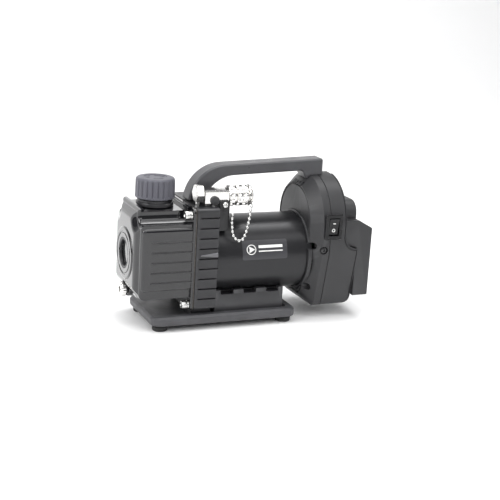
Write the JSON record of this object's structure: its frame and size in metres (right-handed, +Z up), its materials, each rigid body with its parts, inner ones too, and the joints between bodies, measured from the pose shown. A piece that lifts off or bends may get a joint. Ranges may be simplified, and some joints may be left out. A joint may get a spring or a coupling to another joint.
{
  "type": "hvac vacuum pump",
  "caption": "Compact cordless rotary vane vacuum pump with a gloss oil case, round motor tube, clip-on battery, carrying handle, flare inlet with a chained cap and rubber feet.",
  "frame": {"origin": "on the standing surface, under the middle of the pump's length and width", "axes": "+X towards the battery, +Z up, the inlet side faces -Y"},
  "size_m": [0.216, 0.0824, 0.1379],
  "materials": {
    "gloss_black_enamel": "glossy black stove enamel",
    "satin_black_casting": "satin black paint on a fine casting",
    "black_anodised_tube": "black anodised, satin",
    "matte_black_plastic": "fine moulded texture",
    "black_rubber": "matte",
    "nickel_plated_brass": "bright nickel plate",
    "bright_steel": "zinc plated and ground steel",
    "cast_aluminium": "as cast, machined faces",
    "wound_copper": "bare contact copper",
    "carbon_vane": "pressed graphite composite",
    "sight_glass": "clear disc with dark oil behind",
    "gasket_fibre": "pressed fibre",
    "circuit_board": "green solder mask",
    "battery_cell": "shrink sleeve"
  },
  "bodies": {
    "pump_body": {"base_plate": "satin_black_casting", "motor_cradle": "satin_black_casting", "rubber_foot_1": "black_rubber", "rubber_foot_2": "black_rubber", "rubber_foot_3": "black_rubber", "rubber_foot_4": "black_rubber", "oil_case": "gloss_black_enamel", "case_gasket": "gasket_fibre", "case_bolt_1": "bright_steel", "case_bolt_2": "bright_steel", "case_bolt_3": "bright_steel", "case_bolt_4": "bright_steel", "sight_glass": "sight_glass", "glass_retaining_ring": "satin_black_casting", "filler_neck": "satin_black_casting", "exhaust_filter": "gasket_fibre", "centre_housing": "satin_black_casting", "motor_tube": "black_anodised_tube", "rear_housing_front": "matte_black_plastic", "rear_housing_rear": "matte_black_plastic", "housing_screw_1": "bright_steel", "housing_screw_2": "bright_steel", "housing_screw_3": "bright_steel", "housing_screw_4": "bright_steel", "side_screw": "bright_steel", "switch_frame": "matte_black_plastic", "battery_terminals": "matte_black_plastic", "control_board": "circuit_board", "handle": "satin_black_casting", "inlet_fitting": "nickel_plated_brass", "inlet_end_fitting": "nickel_plated_brass", "inlet_bracket": "satin_black_casting", "bracket_screw": "bright_steel", "cap_chain": "bright_steel", "pump_cylinder": "cast_aluminium", "pump_end_plate": "cast_aluminium", "exhaust_reed": "bright_steel", "shaft_seal": "black_rubber", "front_bearing": "bright_steel", "rear_bearing": "bright_steel", "motor_stator": "bright_steel", "motor_end_bell": "cast_aluminium"},
    "drive_train": {"drive_shaft": "bright_steel", "motor_rotor": "bright_steel", "cooling_fan": "matte_black_plastic", "pump_rotor": "bright_steel"},
    "near_vane": {"vane_near": "carbon_vane"},
    "far_vane": {"vane_far": "carbon_vane"},
    "cap_thread": {"oil_cap_seal": "black_rubber"},
    "cap": {"oil_cap": "matte_black_plastic"},
    "flare_thread": {"chain_ring": "nickel_plated_brass"},
    "flare": {"flare_cap": "nickel_plated_brass"},
    "drain_thread": {"drain_seal": "black_rubber"},
    "drain": {"drain_plug": "nickel_plated_brass"},
    "rocker": {"switch_rocker": "matte_black_plastic"},
    "battery": {"battery_shell": "matte_black_plastic", "battery_cell_1": "battery_cell", "battery_cell_2": "battery_cell"},
    "latch": {"battery_latch": "satin_black_casting"}
  },
  "joints": [
    {"name": "drive_spin", "type": "hinge", "parent": "pump_body", "child": "drive_train", "pos_m": [0.0012, 0, 0.0567], "axis": [1, 0, 0], "continuous": true},
    {"name": "near_vane_slide", "type": "slide", "parent": "drive_train", "child": "near_vane", "axis": [0, -1, 0], "range_m": [0, 0.002]},
    {"name": "far_vane_slide", "type": "slide", "parent": "drive_train", "child": "far_vane", "axis": [0, 1, 0], "range_m": [0, 0.002]},
    {"name": "oil_cap_lift", "type": "slide", "parent": "pump_body", "child": "cap_thread", "axis": [0, 0, 1], "range_m": [0, 0.012]},
    {"name": "oil_cap_turn", "type": "hinge", "parent": "cap_thread", "child": "cap", "pos_m": [-0.0798, 0, 0.11], "axis": [0, 0, 1], "range_deg": [0, 1440]},
    {"name": "flare_cap_draw", "type": "slide", "parent": "pump_body", "child": "flare_thread", "axis": [1, 0, 0], "range_m": [0, 0.0127]},
    {"name": "flare_cap_turn", "type": "hinge", "parent": "flare_thread", "child": "flare", "pos_m": [-0.0088, -0.018, 0.1105], "axis": [1, 0, 0], "range_deg": [0, 3600]},
    {"name": "drain_plug_draw", "type": "slide", "parent": "pump_body", "child": "drain_thread", "axis": [-1, 0, 0], "range_m": [0, 0.009]},
    {"name": "drain_plug_turn", "type": "hinge", "parent": "drain_thread", "child": "drain", "pos_m": [-0.1068, 0, 0.0295], "axis": [-1, 0, 0], "range_deg": [0, 2160]},
    {"name": "switch_rock", "type": "hinge", "parent": "pump_body", "child": "rocker", "pos_m": [0.0675, -0.0401, 0.0852], "axis": [-1, 0, 0], "range_deg": [0, 16]},
    {"name": "battery_slide", "type": "slide", "parent": "pump_body", "child": "battery", "axis": [0, 0, 1], "range_m": [0, 0.045]},
    {"name": "latch_pull", "type": "slide", "parent": "battery", "child": "latch", "axis": [1, 0, 0], "range_m": [0, 0.0018], "stiffness_N_per_m": 300}
  ],
  "couplings": [
    {"joint": "oil_cap_turn", "follows": "oil_cap_lift", "rad_per_m": 2094.4},
    {"joint": "flare_cap_turn", "follows": "flare_cap_draw", "rad_per_m": 4947.4},
    {"joint": "drain_plug_turn", "follows": "drain_plug_draw", "rad_per_m": 4188.8}
  ]
}
